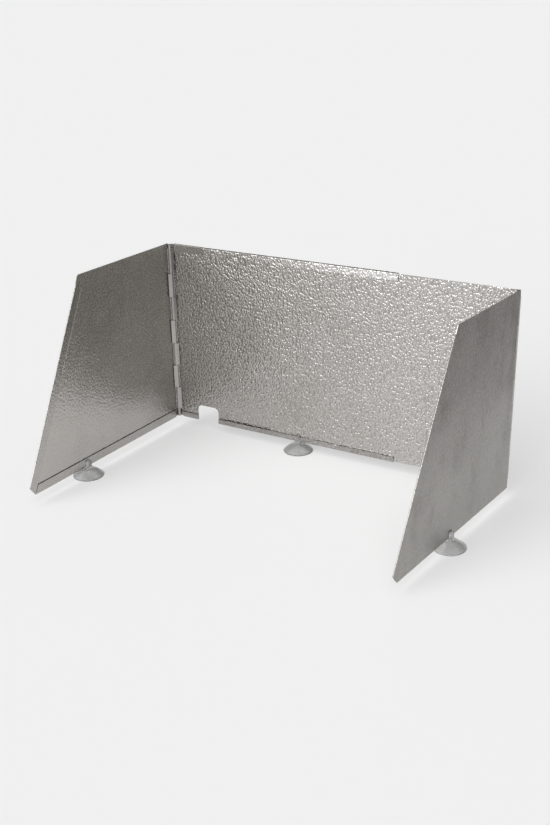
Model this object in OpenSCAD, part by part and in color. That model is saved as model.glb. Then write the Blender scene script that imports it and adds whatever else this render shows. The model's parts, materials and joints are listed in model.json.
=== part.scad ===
// Folding windscreen for a camp stove: a two-part sliding back, two hinged wings and three suction-cup feet.
// X runs along the back, +Y to the rear, +Z up. Z = 0 is the surface that the cups stand on.

/* [Sheet] */
// Thickness of the embossed aluminium sheet
sheet_t = 0.8; // [0.5:0.05:1.2]
// Height of the fixed back panel and of the wings
panel_h = 250; // [200:5:320]
// Gap left inside the folded hems of the wings
hem_gap = 0.4; // [0.2:0.1:1]
// Width of the hems along the bottom and front of the wings
hem_w = 11.5; // [6:0.5:18]

/* [Back] */
// Length of the fixed back panel, from the left hinge axis
fixed_len = 330; // [260:5:420]
// Length of the sliding back panel, from the right hinge axis
slider_len = 330; // [260:5:420]
// Distance between the two hinge axes as the screen stands
hinge_span = 478; // [440:2:560]
// Clearance on each face of the sliding panel in its channel
slide_clear = 0.3; // [0.2:0.05:0.6]
// Width of the folded flange along the top of the fixed panel
top_flange_w = 10; // [6:0.5:16]
// Width of the folded flange along the bottom of the fixed panel
bottom_flange_w = 7.5; // [5:0.5:14]
// Gap left inside the flange where it is pressed flat beside the hinge
pressed_gap = 0.2; // [0.1:0.05:0.4]
// Where the pressed stretch of the top flange ends, from the left hinge axis
pressed_end = 46; // [30:1:60]
// Length over which a pressed flange opens into the channel
flare_len = 9; // [4:0.5:14]

/* [Hose notch] */
// Near side of the hose notch, from the left hinge axis
notch_x = 31; // [20:1:60]
// Width of the hose notch
notch_w = 33.5; // [20:0.5:50]
// Height of the hose notch
notch_h = 22.5; // [12:0.5:40]
// Radius of the two upper corners of the notch
notch_r = 7; // [2:0.5:9]

/* [Wings] */
// Length of the left wing along its bottom edge, from the hinge axis
left_bottom_len = 297; // [220:1:360]
// Length of the left wing along its top edge, from the hinge axis
left_top_len = 175; // [100:1:210]
// Angle between the left wing and the back as the screen stands
left_angle = 93.4; // [60:0.1:120]
// Radius of the upper front corner of the left wing
left_corner_r = 4.5; // [1:0.5:8]
// Length of the right wing along its bottom edge, from the hinge axis
right_bottom_len = 273.5; // [220:0.5:360]
// Length of the right wing along its top edge, from the hinge axis
right_top_len = 150; // [100:1:210]
// Angle between the right wing and the back as the screen stands
right_angle = 83.2; // [60:0.1:120]
// Radius of the upper front corner of the right wing
right_corner_r = 1.5; // [1:0.5:8]
// Length of the clipped corner along the bottom edge of a wing
clip_len = 14.5; // [8:0.5:24]
// Height of the clipped corner on the front edge of a wing
clip_h = 12; // [6:0.5:20]
// How far below the top edge the front hem of a wing starts
front_hem_drop = 10; // [6:0.5:20]
// Gap between the ends of the bottom hem and the front hem
mitre_gap = 1.2; // [0.6:0.1:3]

/* [Hinges] */
// Diameter of the hinge wire
pin_d = 4.6; // [2.5:0.1:6]
// Running clearance of the wire in a rolled knuckle, on the radius
pin_clear = 0.05; // [0.02:0.01:0.1]
// Number of knuckles in one hinge
knuckles = 7; // [3:2:11]
// Gap between one knuckle and the next
knuckle_gap = 0.8; // [0.3:0.1:1.2]
// Height of the lowest knuckle above the bottom edge of the panels
knuckle_low = 12.5; // [8:0.5:20]
// Distance of the highest knuckle below the top edge of the panels
knuckle_top = 8; // [4:0.5:20]
// Angle past the front of a roll where its lip leaves the wire and runs back to the sheet
lip_angle = 58; // [45:1:70]
// Gap between the end of a lip and its own sheet
lip_gap = 0.4; // [0.2:0.1:1]
// Clearance of a sheet edge round the knuckles of the other leaf
leaf_clear = 0.12; // [0.08:0.01:1]
// Distance of the sheet edges from the hinge axis, above and below the knuckles
corner_edge = 0.6; // [0.4:0.1:2]
// Distance of the hems and flanges from the hinge axis
corner_relief = 6; // [5:0.5:10]
// How far the ends of the wire stay inside the height of the panels
pin_inset = 1; // [0:0.5:4]
// Bevel on the ends of the wire
pin_bevel = 0.6; // [0.2:0.1:1]

/* [Suction cups] */
// Diameter of a suction cup
cup_d = 40; // [30:1:50]
// Height of the panels' bottom edge above the surface
standoff = 13; // [10:0.5:20]
// Width of the flat ring that a cup stands on
cup_land = 1.4; // [0.8:0.1:3]
// Height of the cup's outer edge
cup_rim_h = 0.8; // [0.5:0.1:1.5]
// Height of the hollow under a cup
cup_hollow_h = 8; // [5:0.5:9]
// Diameter of the neck between dome and head
neck_d = 9; // [7:0.2:10]
// Height of the neck
neck_h = 1.2; // [0.8:0.1:2]
// Diameter of the slotted head
head_d = 9.6; // [8:0.2:14]
// Height of the head above the bottom edge of the panel
head_h = 8.5; // [6:0.5:14]
// Radius of the rounded top of the head
head_round = 2.4; // [0.6:0.1:3]
// Distance of the back cup from the left hinge axis
back_cup_x = 191; // [120:1:240]
// Distance of the left wing's cup from its hinge axis
left_cup_u = 189; // [120:1:230]
// Distance of the right wing's cup from its hinge axis
right_cup_u = 144; // [100:1:230]

/* [Hidden] */
$fn = 64;

// Spare length that carries a cut right through
over = 2;
// Number of steps along the curved flank of a cup
flank_steps = 10;
// How much the flank of a cup bulges over a straight cone
flank_bulge = 0.28;
// Number of steps along a flare, and round its fold
flare_steps = 5;
fold_steps = 8;
// How far a flare laps into its neighbours, and stays inside their faces
flare_lap = 0.6;
flare_skin = 0.03;
// How far a knuckle's tab or a hinge corner laps into its own sheet
seam_lap = 1;

// Rolled knuckle: the sheet wraps the wire, its outer face is tangent to the roll, and its lip runs back to it
pin_r = pin_d / 2;
bore_r = pin_r + pin_clear;
roll_r = bore_r + sheet_t;
ring_clear_r = roll_r + leaf_clear;
leaf_edge = sqrt(ring_clear_r * ring_clear_r - bore_r * bore_r);
lip_len = (bore_r + bore_r * cos(lip_angle) - lip_gap) / sin(lip_angle);
knuckle_pitch = (panel_h - knuckle_low - knuckle_top) / knuckles;

// Folds: outer radius of each kind, half of the folded thickness
hem_r = hem_gap / 2 + sheet_t;
channel_gap = sheet_t + 2 * slide_clear;
channel_r = channel_gap / 2 + sheet_t;
pressed_r = pressed_gap / 2 + sheet_t;

// Planes across the back: the fixed sheet's inner face is at back_y = 0 before the frame is centred
slider_back_y = -slide_clear;
left_axis_y = sheet_t - roll_r;
right_axis_y = slider_back_y - roll_r;
channel_mid_y = sheet_t - channel_r;

// Offset of a wing's hem, at mid thickness, from the plane through its hinge axis
hem_mid = roll_r - hem_r;
cup_r = cup_d / 2;

// Box of the screen as it stands, for an origin under its middle
left_cup_out = left_cup_u * cos(left_angle) - hem_mid * sin(left_angle);
right_cup_out = right_cup_u * cos(right_angle) - hem_mid * sin(right_angle);
box_left = left_cup_out - cup_r;
box_right = hinge_span - right_cup_out + cup_r;
tip_u = front_u(left_bottom_len, left_top_len, clip_h);
box_front = left_axis_y - tip_u * sin(left_angle) - hem_mid * cos(left_angle);
box_rear = channel_mid_y + cup_r;

// Left hinge axis in the frame of the part
axis_x = -(box_left + box_right) / 2;
frame_y = -(box_front + box_rear) / 2;

// Distance of a wing's front edge from the hinge axis at a given height
function front_u(bottom_len, top_len, z) = bottom_len - (bottom_len - top_len) * z / panel_h;
// Lean of a wing's front edge from the vertical
function front_lean(bottom_len, top_len) = atan((bottom_len - top_len) / panel_h);
// Lower end of one knuckle, counted from the top
function knuckle_z0(i) = panel_h - knuckle_top - (i + 1) * knuckle_pitch + knuckle_gap / 2;
knuckle_len = knuckle_pitch - knuckle_gap;

// Turns a flat section so that it runs along +X, with its own X across the sheet and its own Y up
module run_x(length)
    rotate([90, 0, 90])
        linear_extrude(length)
            children();

// Section of a folded edge: the sheet rises at X = 0, the return leg stands at twice the fold radius
module fold_section(fold_r, return_w) {
    translate([fold_r, fold_r])
        difference() {
            circle(fold_r);
            circle(fold_r - sheet_t);
            translate([-fold_r - over, 0])
                square([2 * fold_r + 2 * over, fold_r + over]);
        }
    translate([0, fold_r])
        square([sheet_t, return_w - fold_r]);
    translate([2 * fold_r - sheet_t, fold_r])
        square([sheet_t, return_w - fold_r]);
}

// One rolled knuckle in plan: most of a ring round the axis, the tab that joins it to the sheet, and its lip
module roll_plan() {
    difference() {
        circle(roll_r);
        circle(bore_r);
        polygon([[0, 0], [0, roll_r + over], [roll_r + over, roll_r + over],
                 [(roll_r + over) * sin(lip_angle), -(roll_r + over) * cos(lip_angle)]]);
    }
    translate([0, bore_r])
        square([leaf_edge + seam_lap, sheet_t]);
    rotate(lip_angle - 90)
        translate([bore_r, 0])
            square([sheet_t, lip_len]);
}

// Every second knuckle of a hinge, starting with the given one; the leaf runs to +X, its outer face to +Y
module rolled_knuckles(first)
    for (i = [first : 2 : knuckles - 1])
        translate([0, 0, knuckle_z0(i)])
            linear_extrude(knuckle_len)
                roll_plan();

// Upright sheet between two heights, from one X to another, with its outer face at the given Y
module upright_sheet(x0, x1, z0, z1, outer_y)
    translate([x0, outer_y - sheet_t, z0])
        cube([x1 - x0, sheet_t, z1 - z0]);

// Corners of a sheet above and below the knuckles, nearer to the hinge axis than the rest of its edge
module hinge_corners(z0, z1, outer_y) {
    upright_sheet(corner_edge, leaf_edge + seam_lap, z0, knuckle_low - knuckle_gap / 2, outer_y);
    upright_sheet(corner_edge, leaf_edge + seam_lap, panel_h - knuckle_top + knuckle_gap / 2, z1, outer_y);
}

// Points of one side of a folded edge: down the sheet, round the fold and up the return leg
function fold_side(fold_r, r, leg_w, return_w) = concat(
    [[fold_r - r, leg_w]],
    [for (i = [0 : fold_steps])
        let (turn = 180 * i / fold_steps)
            [fold_r - r * cos(turn), fold_r - r * sin(turn)]],
    [[fold_r + r, return_w]]);
function reversed(list) = [for (i = [len(list) - 1 : -1 : 0]) list[i]];
// Closed outline of a folded edge: its outer side and, on the way back, its inner side
function fold_ring(fold_r, return_w) = concat(
    fold_side(fold_r, fold_r - flare_skin, channel_r + over, return_w - flare_skin),
    reversed(fold_side(fold_r, fold_r - sheet_t + flare_skin, channel_r + over, return_w - flare_skin)));
// Smooth start and end of a change from 0 to 1
function ease(share) = share * share * (3 - 2 * share);

// Flange that opens from the pressed fold to the channel fold, from X = 0 along +X
module flare(return_w) {
    stations = concat([-flare_lap],
                      [for (i = [0 : flare_steps]) flare_len * i / flare_steps],
                      [flare_len + flare_lap]);
    rings = [for (x = stations)
        fold_ring(pressed_r + (channel_r - pressed_r) * ease(min(max(x / flare_len, 0), 1)), return_w)];
    last = len(stations) - 1;
    count = len(rings[0]);
    half = count / 2;
    points = [for (i = [0 : last]) for (p = rings[i]) [stations[i], p[0], p[1]]];
    sides = [for (i = [0 : last - 1]) for (k = [0 : count - 1])
        let (a = i * count + k, b = i * count + (k + 1) % count)
            each [[a, b + count, b], [a, a + count, b + count]]];
    caps = [for (end = [0, last]) for (k = [0 : half - 2])
        let (o = end * count + k, i = end * count + count - 1 - k)
            each end == 0 ? [[o, i - 1, i], [o, o + 1, i - 1]] : [[o, i, i - 1], [o, i - 1, o + 1]]];
    polyhedron(points, concat(sides, caps), convexity = 6);
}

// Flare along the bottom edge of the fixed panel, starting at the given X
module bottom_flare(x0, return_w)
    translate([x0, sheet_t, 0])
        mirror([0, 1, 0])
            flare(return_w);

// The same along the top edge
module top_flare(x0, return_w)
    translate([0, 0, panel_h])
        mirror([0, 0, 1])
            bottom_flare(x0, return_w);

// Folded flange of the fixed panel from one X to another, along its bottom edge
module bottom_flange(x0, x1, fold_r, return_w)
    translate([x0, sheet_t, 0])
        mirror([0, 1, 0])
            run_x(x1 - x0)
                fold_section(fold_r, return_w);

// The same along the top edge
module top_flange(x0, x1, fold_r, return_w)
    translate([0, 0, panel_h])
        mirror([0, 0, 1])
            bottom_flange(x0, x1, fold_r, return_w);

// Hose notch as seen from the front, open at the bottom edge
module notch_outline() {
    translate([notch_x, -over])
        square([notch_w, notch_h - notch_r + over]);
    translate([notch_x + notch_r, 0])
        square([notch_w - 2 * notch_r, notch_h]);
    for (side = [notch_x + notch_r, notch_x + notch_w - notch_r])
        translate([side, notch_h - notch_r])
            circle(notch_r);
}

// Fixed panel with the left hinge axis at X = 0 and its bottom edge at Z = 0
module fixed_panel_shape() {
    notch_end = notch_x + notch_w;
    difference() {
        union() {
            upright_sheet(leaf_edge, fixed_len, channel_r, panel_h - channel_r, sheet_t);
            hinge_corners(channel_r, panel_h - channel_r, sheet_t);
            bottom_flange(corner_relief, notch_end, pressed_r, bottom_flange_w);
            bottom_flare(notch_end, bottom_flange_w);
            bottom_flange(notch_end + flare_len, fixed_len, channel_r, bottom_flange_w);
            top_flange(corner_relief, pressed_end, pressed_r, top_flange_w);
            top_flare(pressed_end, top_flange_w);
            top_flange(pressed_end + flare_len, fixed_len, channel_r, top_flange_w);
        }
        translate([0, sheet_t + over, 0])
            rotate([90, 0, 0])
                linear_extrude(2 * channel_r + 2 * over)
                    notch_outline();
    }
    translate([0, left_axis_y, 0])
        rolled_knuckles(0);
}

// Sliding panel with the right hinge axis at X = 0; it runs to -X
module sliding_panel_shape()
    mirror([1, 0, 0]) {
        upright_sheet(leaf_edge, slider_len, channel_r, panel_h - channel_r, slider_back_y);
        hinge_corners(channel_r, panel_h - channel_r, slider_back_y);
        translate([0, right_axis_y, 0])
            rolled_knuckles(0);
    }

// Outline of a wing's single sheet, short of the folds along its bottom and front edges
module wing_outline(bottom_len, top_len, corner_r) {
    lean = front_lean(bottom_len, top_len);
    fold_inset = hem_r / cos(lean);
    hem_top_z = panel_h - front_hem_drop;
    corner_run = corner_r / tan(45 + lean / 2);
    difference() {
        polygon([[leaf_edge, hem_r],
                 [front_u(bottom_len, top_len, hem_r) - fold_inset, hem_r],
                 [front_u(bottom_len, top_len, hem_top_z) - fold_inset, hem_top_z],
                 [front_u(bottom_len, top_len, hem_top_z), hem_top_z],
                 [top_len, panel_h],
                 [leaf_edge, panel_h]]);
        difference() {
            polygon([[top_len + over, panel_h + over],
                     [top_len - corner_run, panel_h + over],
                     [top_len - corner_run, panel_h - corner_r],
                     [top_len + corner_run * sin(lean), panel_h - corner_run * cos(lean)],
                     [top_len + over, panel_h - corner_run * cos(lean)]]);
            translate([top_len - corner_run, panel_h - corner_r])
                circle(corner_r);
        }
    }
}

// Cuts a wing's piece through its whole thickness, by an outline in X and Z
module wing_cut()
    translate([0, roll_r, 0])
        rotate([90, 0, 0])
            linear_extrude(2 * roll_r + over)
                children();

// Wing in its own frame: hinge axis at X = 0, sheet to +X, outer face to -Y, bottom edge at Z = 0
module wing_shape(bottom_len, top_len, corner_r) {
    lean = front_lean(bottom_len, top_len);
    edge_len = panel_h / cos(lean);
    mitre_inset = (hem_w + mitre_gap) / cos(lean);
    difference() {
        union() {
            translate([0, sheet_t - roll_r, 0])
                rotate([90, 0, 0])
                    linear_extrude(sheet_t)
                        wing_outline(bottom_len, top_len, corner_r);
            difference() {
                translate([corner_relief, -roll_r, 0])
                    run_x(bottom_len - corner_relief)
                        fold_section(hem_r, hem_w);
                wing_cut()
                    polygon([[bottom_len - mitre_inset, 0],
                             [front_u(bottom_len, top_len, hem_w + over) - mitre_inset, hem_w + over],
                             [bottom_len + over, hem_w + over],
                             [bottom_len + over, -over],
                             [bottom_len - mitre_inset, -over]]);
            }
            translate([bottom_len, -roll_r, 0])
                rotate([0, -90 - lean, 0])
                    run_x(edge_len - front_hem_drop / cos(lean))
                        fold_section(hem_r, hem_w);
        }
        wing_cut()
            polygon([[bottom_len - clip_len, 0],
                     [front_u(bottom_len, top_len, clip_h), clip_h],
                     [bottom_len + hem_w, clip_h],
                     [bottom_len + hem_w, -hem_w],
                     [bottom_len - clip_len, -hem_w]]);
    }
    hinge_corners(hem_r, panel_h, sheet_t - roll_r);
    mirror([0, 1, 0])
        rolled_knuckles(1);
}

// Hinge wire on its axis, from just above the bottom edge of the panels to just below the top edge
module hinge_wire() {
    length = panel_h - 2 * pin_inset;
    translate([0, 0, pin_inset])
        rotate_extrude()
            polygon([[0, 0], [pin_r - pin_bevel, 0], [pin_r, pin_bevel],
                     [pin_r, length - pin_bevel], [pin_r - pin_bevel, length], [0, length]]);
}

// Height of a cup's flank, from 0 at its foot to 1 at its top, over a share of the way in
function flank(share) = (1 + flank_bulge) * share - flank_bulge * share * share;

// Half section of a suction cup: land, flank, neck and rounded head, over a hollow
module cup_section() {
    neck_r = neck_d / 2;
    head_r = head_d / 2;
    dome_h = standoff - neck_h;
    top_z = standoff + head_h;
    round_z = top_z - head_round;
    hollow_r = cup_r - cup_land;
    steps = [0 : flank_steps];
    difference() {
        union() {
            polygon(concat(
                [[0, 0], [cup_r, 0]],
                [for (i = steps) [cup_r - (cup_r - neck_r) * i / flank_steps,
                                  cup_rim_h + (dome_h - cup_rim_h) * flank(i / flank_steps)]],
                [[neck_r, standoff], [0, standoff]]));
            translate([0, standoff])
                square([head_r, head_h - head_round]);
            translate([0, round_z])
                square([head_r - head_round, head_round]);
            translate([head_r - head_round, round_z])
                circle(head_round);
        }
        polygon(concat(
            [[0, -over], [hollow_r, -over]],
            [for (i = steps) [hollow_r - hollow_r * i / flank_steps,
                              cup_hollow_h * flank(i / flank_steps)]]));
    }
}

// Suction cup with its slot along X, wide enough for the folded edge that it grips
module suction_cup(grip_t)
    difference() {
        rotate_extrude()
            cup_section();
        translate([-head_d, -grip_t / 2, standoff])
            cube([2 * head_d, grip_t, head_h + over]);
    }

// Places a piece of the left wing: hinge axis and standing angle
module on_left_wing()
    translate([axis_x, frame_y + left_axis_y, 0])
        rotate([0, 0, -left_angle])
            children();

// Places a piece of the right wing, as the mirror image of a left one
module on_right_wing()
    translate([axis_x + hinge_span, frame_y + right_axis_y, 0])
        mirror([1, 0, 0])
            rotate([0, 0, -right_angle])
                children();

module fixed_back_panel()
    color([0.64, 0.63, 0.60])
        translate([axis_x, frame_y, standoff])
            fixed_panel_shape();

module sliding_back_panel()
    color([0.70, 0.69, 0.66])
        translate([axis_x + hinge_span, frame_y, standoff])
            sliding_panel_shape();

module left_wing_panel()
    color([0.52, 0.50, 0.48])
        on_left_wing()
            translate([0, 0, standoff])
                wing_shape(left_bottom_len, left_top_len, left_corner_r);

module right_wing_panel()
    color([0.48, 0.47, 0.45])
        on_right_wing()
            translate([0, 0, standoff])
                wing_shape(right_bottom_len, right_top_len, right_corner_r);

module left_hinge_pin()
    color([0.60, 0.60, 0.60])
        translate([axis_x, frame_y + left_axis_y, standoff])
            hinge_wire();

module right_hinge_pin()
    color([0.60, 0.60, 0.60])
        translate([axis_x + hinge_span, frame_y + right_axis_y, standoff])
            hinge_wire();

module back_suction_cup()
    color([0.80, 0.80, 0.79, 0.6])
        translate([axis_x + back_cup_x, frame_y + channel_mid_y, 0])
            suction_cup(2 * channel_r);

module left_suction_cup()
    color([0.80, 0.80, 0.79, 0.6])
        on_left_wing()
            translate([left_cup_u, -hem_mid, 0])
                suction_cup(2 * hem_r);

module right_suction_cup()
    color([0.80, 0.80, 0.79, 0.6])
        on_right_wing()
            translate([right_cup_u, -hem_mid, 0])
                suction_cup(2 * hem_r);

fixed_back_panel();
sliding_back_panel();
left_wing_panel();
right_wing_panel();
left_hinge_pin();
right_hinge_pin();
back_suction_cup();
left_suction_cup();
right_suction_cup();
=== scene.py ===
# %% [markdown]
# # A folding windscreen for a camp stove
#
# Four sheets of stucco-embossed aluminium make this screen: a fixed back with folded flanges, a sliding
# back that runs inside them, and two tapered wings on rolled hinges. Three clear vinyl cups hold it down.
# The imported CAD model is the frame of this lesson. It says where each piece is and how it moves, and every
# mesh below is made in that place, in metres.

# %% Load the frame
import json
import math

import bmesh
import bpy
import numpy as np
from mathutils import Matrix, Vector


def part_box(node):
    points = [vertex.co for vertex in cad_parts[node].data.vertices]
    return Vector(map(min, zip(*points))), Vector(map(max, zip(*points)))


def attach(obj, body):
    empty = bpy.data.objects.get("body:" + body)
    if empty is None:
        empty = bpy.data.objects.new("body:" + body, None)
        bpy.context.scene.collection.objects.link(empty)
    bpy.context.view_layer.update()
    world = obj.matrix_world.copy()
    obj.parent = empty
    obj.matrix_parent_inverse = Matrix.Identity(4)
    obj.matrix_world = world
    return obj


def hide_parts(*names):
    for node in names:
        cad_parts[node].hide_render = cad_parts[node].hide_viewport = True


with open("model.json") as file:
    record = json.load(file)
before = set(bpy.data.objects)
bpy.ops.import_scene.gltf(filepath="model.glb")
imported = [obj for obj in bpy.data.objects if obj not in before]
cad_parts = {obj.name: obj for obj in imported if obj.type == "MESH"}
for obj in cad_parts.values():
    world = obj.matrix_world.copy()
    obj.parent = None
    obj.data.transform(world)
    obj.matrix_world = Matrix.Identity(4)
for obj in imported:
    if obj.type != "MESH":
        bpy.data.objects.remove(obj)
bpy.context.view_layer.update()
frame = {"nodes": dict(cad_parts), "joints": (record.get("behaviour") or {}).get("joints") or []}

MM = 0.001
scene = bpy.context.scene
joint_place = {joint["name"]: joint.get("pos_m") for joint in frame["joints"]}


def linked(name, data):
    """A new object in the scene."""
    thing = bpy.data.objects.new(name, data)
    scene.collection.objects.link(thing)
    return thing


# %% [markdown]
# ## Sizes
#
# The frame gives the hinge axes, the height of the panels and the radius of the rolled knuckles. What a
# box can't tell, such as the thickness of the sheet, is named in millimetres where it is first needed, as a
# sheet metal worker would write it on the drawing.

# %% Sizes taken from the frame
left_axis = Vector(joint_place["left_wing_hinge"])
right_axis = Vector(joint_place["right_wing_hinge"])
fixed_low, fixed_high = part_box("fixed_back_panel")
slider_low, slider_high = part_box("sliding_back_panel")
wing_low, wing_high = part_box("left_wing_panel")

BOTTOM_Z = wing_low.z
left_foot, right_foot = (Vector((axis.x, axis.y, BOTTOM_Z)) for axis in (left_axis, right_axis))
PANEL_H = (wing_high.z - wing_low.z) / MM
FIXED_LEN = (fixed_high.x - left_axis.x) / MM
SLIDER_LEN = (right_axis.x - slider_low.x) / MM
ROLL_R = (left_axis.x - fixed_low.x) / MM
print(f"panels {PANEL_H:.1f} high, back {FIXED_LEN:.1f} and {SLIDER_LEN:.1f} long")

# %% Sizes of the sheet and of its hinge edges
SHEET = 0.8
BORE_R = ROLL_R - SHEET
# From the hinge axis to the edge of a leaf: beside the knuckles, and at the corners above and below them.
LEAF_CLEAR = 0.12
LEAF_EDGE = math.hypot(SHEET + LEAF_CLEAR, math.sqrt(2 * BORE_R * (SHEET + LEAF_CLEAR)))
CORNER_EDGE = 0.6
# Folds and hems start this far from the hinge axis.
CORNER_RELIEF = 6.0
# The knuckles of both leaves, with what the row leaves free below and above.
KNUCKLES = 7
KNUCKLE_LOW, KNUCKLE_TOP = 12.5, 8.0
KNUCKLE_GAP = 0.8
LOW_CORNER = KNUCKLE_LOW - KNUCKLE_GAP / 2
TOP_CORNER = PANEL_H - KNUCKLE_TOP + KNUCKLE_GAP / 2
print(f"knuckles {2 * ROLL_R:.2f} thick, leaves end {LEAF_EDGE:.2f} from the axis")

# %% [markdown]
# ## Node helpers
#
# Materials and Geometry Nodes are both graphs. A few small helpers keep their cells readable: one adds a
# node and fills its sockets, either with a plain value or with another node's output, and the others are
# short names for the nodes that this lesson uses most.

# %% Node helpers


def set_sockets(tree, node, **sockets):
    """Fills a node's sockets by name (spaces written as _) or by number (as _0, _1 and so on)."""
    for name, value in sockets.items():
        socket = node.inputs[int(name[1:])] if name[1:].isdigit() else node.inputs[name.replace("_", " ")]
        if isinstance(value, bpy.types.NodeSocket):
            tree.links.new(value, socket)
        else:
            socket.default_value = value
    return node


def add_node(tree, kind, settings=None, **sockets):
    node = tree.nodes.new(kind)
    for name, value in (settings or {}).items():
        setattr(node, name, value)
    return set_sockets(tree, node, **sockets)


def math_node(tree, operation, a, b, c=0.0):
    return add_node(tree, "ShaderNodeMath", {"operation": operation}, _0=a, _1=b, _2=c).outputs[0]


def vector_node(tree, operation, a, b):
    return add_node(tree, "ShaderNodeVectorMath", {"operation": operation}, _0=a, _1=b).outputs[0]


def scaled(tree, vector, factor):
    return add_node(tree, "ShaderNodeVectorMath", {"operation": "SCALE"}, _0=vector, Scale=factor).outputs[0]


def split(tree, vector):
    return add_node(tree, "ShaderNodeSeparateXYZ", Vector=vector).outputs


def noise(tree, coords, scale, detail=3.0):
    return add_node(tree, "ShaderNodeTexNoise", Vector=coords, Scale=scale, Detail=detail,
                    Roughness=0.55).outputs[0]


def between(tree, value, low, high, to_low=0.0, to_high=1.0):
    """A soft step: to_low where the value is below low, to_high where it is above high."""
    return add_node(tree, "ShaderNodeMapRange", {"interpolation_type": "SMOOTHSTEP"}, Value=value,
                    From_Min=low, From_Max=high, To_Min=to_low, To_Max=to_high).outputs[0]


def mixed(tree, factor, a, b):
    return add_node(tree, "ShaderNodeMix", {"data_type": "RGBA"}, _0=factor, _6=a, _7=b).outputs[2]


def new_material(name):
    """A material with its tree, its shader and the place on the piece, in metres."""
    material = bpy.data.materials.new(name)
    material.use_nodes = True
    tree = material.node_tree
    place = tree.nodes.new("ShaderNodeTexCoord").outputs["Object"]
    return material, tree, tree.nodes["Principled BSDF"], place


# %% [markdown]
# ## Helpers for Geometry Nodes
#
# A Geometry Nodes tree is a modifier with named inputs. These helpers make an empty tree, end it the same
# way each time, put it on a piece with its values, and turn the result into a plain mesh, which is what the
# frame can use.

# %% Geometry Nodes helpers


def modifier_tree(name, inputs):
    """An empty Geometry Nodes tree with a geometry input, the given named inputs and a geometry output."""
    tree = bpy.data.node_groups.new(name, "GeometryNodeTree")
    tree.interface.new_socket("Geometry", in_out="INPUT", socket_type="NodeSocketGeometry")
    for label, kind in inputs.items():
        tree.interface.new_socket(label, in_out="INPUT", socket_type="NodeSocket" + kind)
    tree.interface.new_socket("Geometry", in_out="OUTPUT", socket_type="NodeSocketGeometry")
    return tree, tree.nodes.new("NodeGroupInput").outputs


def finish_tree(tree, geometry, material):
    """Every tree ends the same way: instances made real, material set, geometry handed on."""
    real = add_node(tree, "GeometryNodeRealizeInstances", Geometry=geometry).outputs[0]
    painted = add_node(tree, "GeometryNodeSetMaterial", Geometry=real, Material=material).outputs[0]
    tree.links.new(painted, tree.nodes.new("NodeGroupOutput").inputs[0])
    print("tree:", tree.name, "with", len(tree.nodes), "nodes")


def use_tree(piece, tree, values):
    """Puts a tree on a piece and sets its inputs by socket identifier."""
    modifier = piece.modifiers.new(tree.name, "NODES")
    modifier.node_group = tree
    sockets = {item.name: item.identifier for item in tree.interface.items_tree if item.in_out == "INPUT"}
    for label, value in values.items():
        modifier[sockets[label]] = value


def made_plain(piece):
    """Turns a piece with modifiers into a plain mesh, shaded smooth."""
    graph = bpy.context.evaluated_depsgraph_get()
    plain = bpy.data.meshes.new_from_object(piece.evaluated_get(graph))
    plain.polygons.foreach_set("use_smooth", [True] * len(plain.polygons))
    piece.modifiers.clear()
    old, piece.data = piece.data, plain
    bpy.data.meshes.remove(old)


# %% [markdown]
# ## Camera
#
# The photograph looks down into the screen from the front right. Its eye point and angles were found by
# matching the corners of the panels, so the camera is written as an eye, three angles and a focal length
# counted in pixels of the picture. Blender measures the lens against the long side of the frame.

# %% Camera
PICTURE_H = 825
FOCAL_PX = 1069.92
EYE = Vector((597.5, -1003.9, 613.6)) * MM
AZIMUTH, ELEVATION, ROLL = 30.308, 23.181, -1.241
FAR_END = 200


def direction(azimuth, elevation):
    """Unit vector from the screen: azimuth 0 is straight in front, and positive angles go to the right."""
    a, e = math.radians(azimuth), math.radians(elevation)
    return Vector((math.sin(a) * math.cos(e), -math.cos(a) * math.cos(e), math.sin(e)))


camera = linked("photo_camera", bpy.data.cameras.new("photo_camera"))
camera.data.lens = FOCAL_PX * camera.data.sensor_width / PICTURE_H
camera.data.clip_end = FAR_END
level = direction(AZIMUTH, ELEVATION).to_track_quat("Z", "Y").to_matrix()
rolled = level @ Matrix.Rotation(math.radians(ROLL), 3, "Z")
camera.matrix_world = Matrix.Translation(EYE) @ rolled.to_4x4()
scene.camera = camera
print("lens in mm:", round(camera.data.lens, 2))

# %% [markdown]
# ## Room and soft light
#
# Bare metal shows what stands round it, so the room matters as much as the finish. It is a sweep of pale
# paper: the floor goes on as a low backdrop all round. Above it the room is dim, with one soft glow low in
# front and a little to the left, which gives the bumps their highlights. Lamps and cards could be hung there.
# Here glow and paper are painted on the world by direction, so camera, metal and vinyl all see the same room.
# A wide sun overhead lights the floor, and mirrors don't show it.

# %% Room and soft light
FLOOR_TONE = 0.86
ROOM_DIM, ROOM_GLOW = 0.22, 4.8
GLOW_WAY = (-22, 14)
GLOW_CORE, GLOW_EDGE = math.radians(8), math.radians(36)
BACKDROP_EDGE, BACKDROP_TOP = math.radians(4), math.radians(12)
FILL_WAY = (-10, 65)
FILL_STRENGTH, FILL_DISC = 2.02, math.radians(70)


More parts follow.
